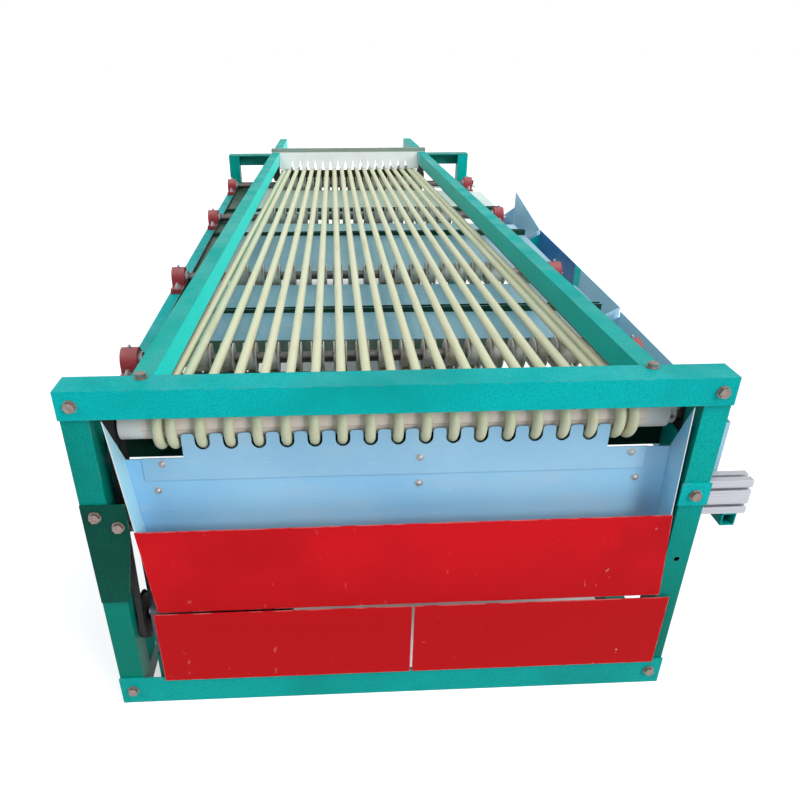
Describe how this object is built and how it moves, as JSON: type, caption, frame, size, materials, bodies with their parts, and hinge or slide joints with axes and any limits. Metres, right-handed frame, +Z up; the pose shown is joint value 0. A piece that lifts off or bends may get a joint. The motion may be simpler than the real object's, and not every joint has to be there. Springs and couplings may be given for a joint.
{
  "type": "fruit grading machine",
  "caption": "Free-standing fruit sizer: round ropes spread apart over grooved spools between two rollers, fruit drops by size on to side chutes, the largest into a front trough.",
  "frame": {"origin": "bottom centre of the whole machine, on the floor", "axes": "+X to the right seen from the front trough, +Y from the front trough to the feed end, +Z up"},
  "size_m": [1.332, 3.4644, 0.772],
  "materials": {
    "teal_paint": "satin",
    "cyan_paint": "satin",
    "dark_green_paint": "satin",
    "blue_sheet": "satin",
    "pale_blue_sheet": "satin",
    "red_panel": "gloss",
    "bearing_red": "satin",
    "bearing_black": "satin",
    "shaft_steel": "satin",
    "zinc": "satin",
    "roller_white": "matte",
    "spool_white": "matte",
    "rope_cream": "matte",
    "belt_black": "matte",
    "pulley_black": "satin",
    "motor_grey": "satin",
    "profile_aluminium": "satin",
    "feed_white": "satin",
    "strip_grey_green": "satin"
  },
  "bodies": {
    "frame": {"front_leg_left": "teal_paint", "front_leg_right": "teal_paint", "rear_leg_left": "teal_paint", "rear_leg_right": "teal_paint", "front_top_beam": "teal_paint", "rear_stubs": "teal_paint", "front_bottom_beam": "teal_paint", "rear_bottom_beam": "teal_paint", "bottom_rail_left": "teal_paint", "bottom_rail_right": "teal_paint", "side_beam_left": "teal_paint", "side_beam_right": "teal_paint", "mid_beam": "teal_paint", "leg_plate_right": "teal_paint", "motor_stand": "teal_paint", "outrigger_tube": "teal_paint", "guard_rail_left": "cyan_paint", "guard_rail_right": "cyan_paint", "belt_guard": "dark_green_paint", "comb_plate": "blue_sheet", "chute_back_panel": "blue_sheet", "chute_wall_left": "blue_sheet", "chute_wall_right": "blue_sheet", "chute_floor": "blue_sheet", "side_trough_1": "blue_sheet", "side_trough_2": "blue_sheet", "side_trough_3": "blue_sheet", "grade_chute_1": "pale_blue_sheet", "grade_chute_2": "pale_blue_sheet", "grade_chute_3": "pale_blue_sheet", "grade_chute_4": "pale_blue_sheet", "upper_apron": "red_panel", "lower_panel_left": "red_panel", "lower_panel_right": "red_panel", "bearing_blocks_left": "bearing_red", "bearing_blocks_right": "bearing_red", "front_bearings": "bearing_black", "rear_hangers": "bearing_black", "frame_bolts": "zinc", "sorting_ropes": "rope_cream", "drive_belt": "belt_black", "gearmotor": "motor_grey", "cross_profile": "profile_aluminium", "feed_plate": "feed_white", "feed_strip": "strip_grey_green"},
    "front_roller": {"front_roller_shaft": "shaft_steel", "front_roller_sleeve": "roller_white", "roller_collar": "zinc", "drive_pulley": "pulley_black"},
    "rear_roller": {"rear_roller_shaft": "shaft_steel", "rear_roller_sleeve": "roller_white"},
    "guide_1": {"guide_shaft_1": "shaft_steel", "guide_spools_1": "spool_white"},
    "guide_2": {"guide_shaft_2": "shaft_steel", "guide_spools_2": "spool_white"},
    "guide_3": {"guide_shaft_3": "shaft_steel", "guide_spools_3": "spool_white"},
    "guide_4": {"guide_shaft_4": "shaft_steel", "guide_spools_4": "spool_white"},
    "motor_drive": {"motor_pulley": "pulley_black"}
  },
  "joints": [
    {"name": "front_roller_spin", "type": "hinge", "parent": "frame", "child": "front_roller", "pos_m": [-0.064, -1.62475, 0.64], "axis": [1, 0, 0], "continuous": true},
    {"name": "rear_roller_spin", "type": "hinge", "parent": "frame", "child": "rear_roller", "pos_m": [-0.064, 1.18225, 0.64], "axis": [1, 0, 0], "continuous": true},
    {"name": "guide_1_spin", "type": "hinge", "parent": "frame", "child": "guide_1", "pos_m": [-0.064, -1.30363, 0.64], "axis": [1, 0, 0], "continuous": true},
    {"name": "guide_2_spin", "type": "hinge", "parent": "frame", "child": "guide_2", "pos_m": [-0.064, -0.6423, 0.64], "axis": [1, 0, 0], "continuous": true},
    {"name": "guide_3_spin", "type": "hinge", "parent": "frame", "child": "guide_3", "pos_m": [-0.064, 0.19026, 0.64], "axis": [1, 0, 0], "continuous": true},
    {"name": "guide_4_spin", "type": "hinge", "parent": "frame", "child": "guide_4", "pos_m": [-0.064, 0.91334, 0.64], "axis": [1, 0, 0], "continuous": true},
    {"name": "motor_spin", "type": "hinge", "parent": "frame", "child": "motor_drive", "pos_m": [-0.064, -1.64575, 0.19], "axis": [1, 0, 0], "continuous": true}
  ],
  "couplings": [
    {"joint": "rear_roller_spin", "follows": "front_roller_spin", "ratio": 1},
    {"joint": "guide_1_spin", "follows": "front_roller_spin", "ratio": 1},
    {"joint": "guide_2_spin", "follows": "front_roller_spin", "ratio": 1},
    {"joint": "guide_3_spin", "follows": "front_roller_spin", "ratio": 1},
    {"joint": "guide_4_spin", "follows": "front_roller_spin", "ratio": 1},
    {"joint": "motor_spin", "follows": "front_roller_spin", "ratio": 0.71074}
  ]
}
